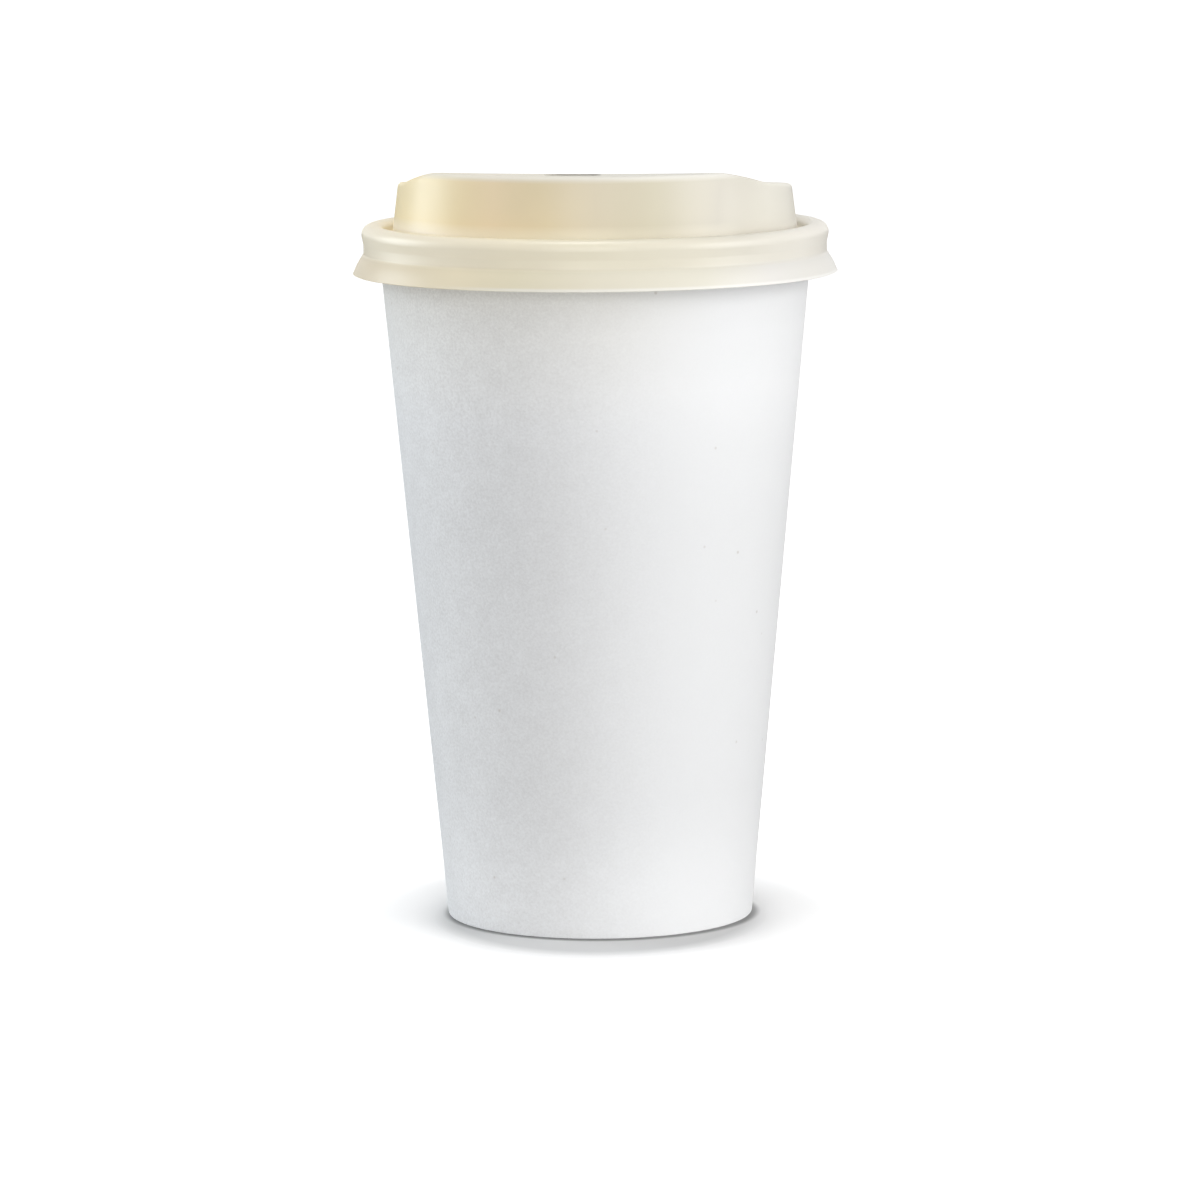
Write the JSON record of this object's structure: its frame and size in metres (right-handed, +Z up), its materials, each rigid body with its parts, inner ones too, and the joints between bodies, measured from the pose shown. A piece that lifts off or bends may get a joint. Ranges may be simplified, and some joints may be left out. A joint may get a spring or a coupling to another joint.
{
  "type": "paper coffee cup",
  "caption": "Plain white single-wall paper hot cup with a cream travel lid that has a raised sipping platform and a recessed deck; the lid lifts off.",
  "frame": {"origin": "centre of the base ring, on the surface that the cup stands on", "axes": "+Z up along the cup's axis; -Y towards the viewer of the picture, the lid's sipping side faces -Y turned 7.5 degrees towards -X"},
  "size_m": [0.0946, 0.0946, 0.1478],
  "materials": {
    "coated_board": "matte white uncoated outside face, faint fibre grain",
    "bottom_board": "matte white board, coated inside",
    "lid_plastic": "satin cream thermoformed sheet"
  },
  "bodies": {
    "cup": {"cup_wall": "coated_board", "cup_bottom": "bottom_board"},
    "lid": {"lid": "lid_plastic"}
  },
  "joints": [
    {"name": "lid_lift", "type": "slide", "parent": "cup", "child": "lid", "axis": [0, 0, 1], "range_m": [0, 0.03]}
  ]
}
